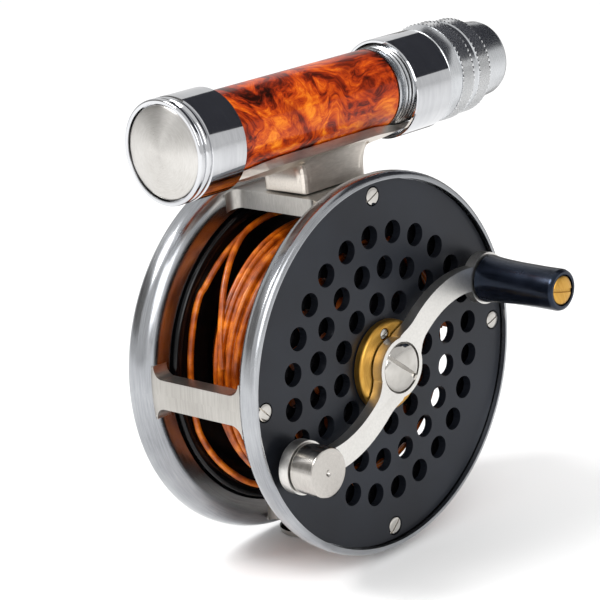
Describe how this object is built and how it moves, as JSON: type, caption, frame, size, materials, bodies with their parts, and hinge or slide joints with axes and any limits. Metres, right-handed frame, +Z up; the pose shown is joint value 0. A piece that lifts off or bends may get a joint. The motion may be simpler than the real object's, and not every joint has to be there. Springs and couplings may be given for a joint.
{
  "type": "fly fishing reel with reel seat",
  "caption": "Single-action fly reel with an S-shaped crank and a perforated side plate, clamped on a short wooden reel seat with a sliding hood and a lock nut.",
  "frame": {"origin": "on the reel seat's axis, at the mouth of the barrel that takes the rod blank", "axes": "+X along the seat towards the rod's tip, +Z up from the reel to the seat, -Y towards the crank"},
  "size_m": [0.0947, 0.0589, 0.1012],
  "materials": {
    "satin_aluminium": "satin, brushed",
    "polished_silver": "polished nickel silver",
    "black_anodised": "satin black anodised aluminium",
    "gloss_black": "gloss black anodised aluminium",
    "brass": "polished",
    "steel": "bright",
    "black_ebonite": "satin",
    "burl_wood": "gloss varnish",
    "fly_line": "coated line"
  },
  "bodies": {
    "frame": {"frame_cage": "satin_aluminium", "reel_foot": "satin_aluminium", "butt_plate": "satin_aluminium", "seat_barrel": "polished_silver", "butt_cap": "polished_silver", "front_plate": "black_anodised", "rear_plate": "black_anodised", "front_bush": "brass", "rear_bush": "brass", "front_plate_screw_1": "steel", "front_plate_screw_2": "steel", "front_plate_screw_3": "steel", "front_plate_screw_4": "steel", "rear_plate_screw_1": "steel", "rear_plate_screw_2": "steel", "rear_plate_screw_3": "steel", "rear_plate_screw_4": "steel", "front_bush_screw_1": "steel", "front_bush_screw_2": "steel", "front_bush_screw_3": "steel", "rear_bush_screw_1": "steel", "rear_bush_screw_2": "steel", "rear_bush_screw_3": "steel", "foot_screw_1": "steel", "foot_screw_2": "steel", "rest_stud": "steel", "pawl_post": "steel", "spring_post_1": "steel", "spring_post_2": "steel", "pawl_spring": "steel", "wood_insert": "burl_wood"},
    "spool": {"spool_front_flange": "gloss_black", "spool_rear_flange": "gloss_black", "spool_arbor": "gloss_black", "line_winding": "fly_line", "spindle": "steel", "click_gear": "steel", "crank_arm": "satin_aluminium", "crank_screw": "steel", "counterweight": "polished_silver", "handle_screw": "brass"},
    "knob": {"handle_knob": "black_ebonite"},
    "pawl": {"click_pawl": "brass"},
    "hood": {"sliding_hood": "polished_silver"},
    "nut": {"lock_nut": "polished_silver"}
  },
  "joints": [
    {"name": "spool_spin", "type": "hinge", "parent": "frame", "child": "spool", "pos_m": [-0.0534, -0.015, -0.0506], "axis": [0, 1, 0], "continuous": true},
    {"name": "handle_knob_spin", "type": "hinge", "parent": "spool", "child": "knob", "pos_m": [-0.02558, -0.015, -0.03936], "axis": [0, 1, 0], "continuous": true},
    {"name": "pawl_rock", "type": "hinge", "parent": "frame", "child": "pawl", "pos_m": [-0.04993, -0.015, -0.06627], "axis": [0, 1, 0], "range_deg": [-7, 7], "stiffness_Nm_per_rad": 0.01},
    {"name": "hood_slide", "type": "slide", "parent": "frame", "child": "hood", "axis": [1, 0, 0], "range_m": [0, 0.0065]},
    {"name": "lock_nut_turn", "type": "hinge", "parent": "hood", "child": "nut", "pos_m": [-0.0215, 0, 0], "axis": [1, 0, 0], "range_deg": [0, 2341]}
  ],
  "couplings": [
    {"joint": "lock_nut_turn", "follows": "hood_slide", "rad_per_m": 6283.2}
  ]
}
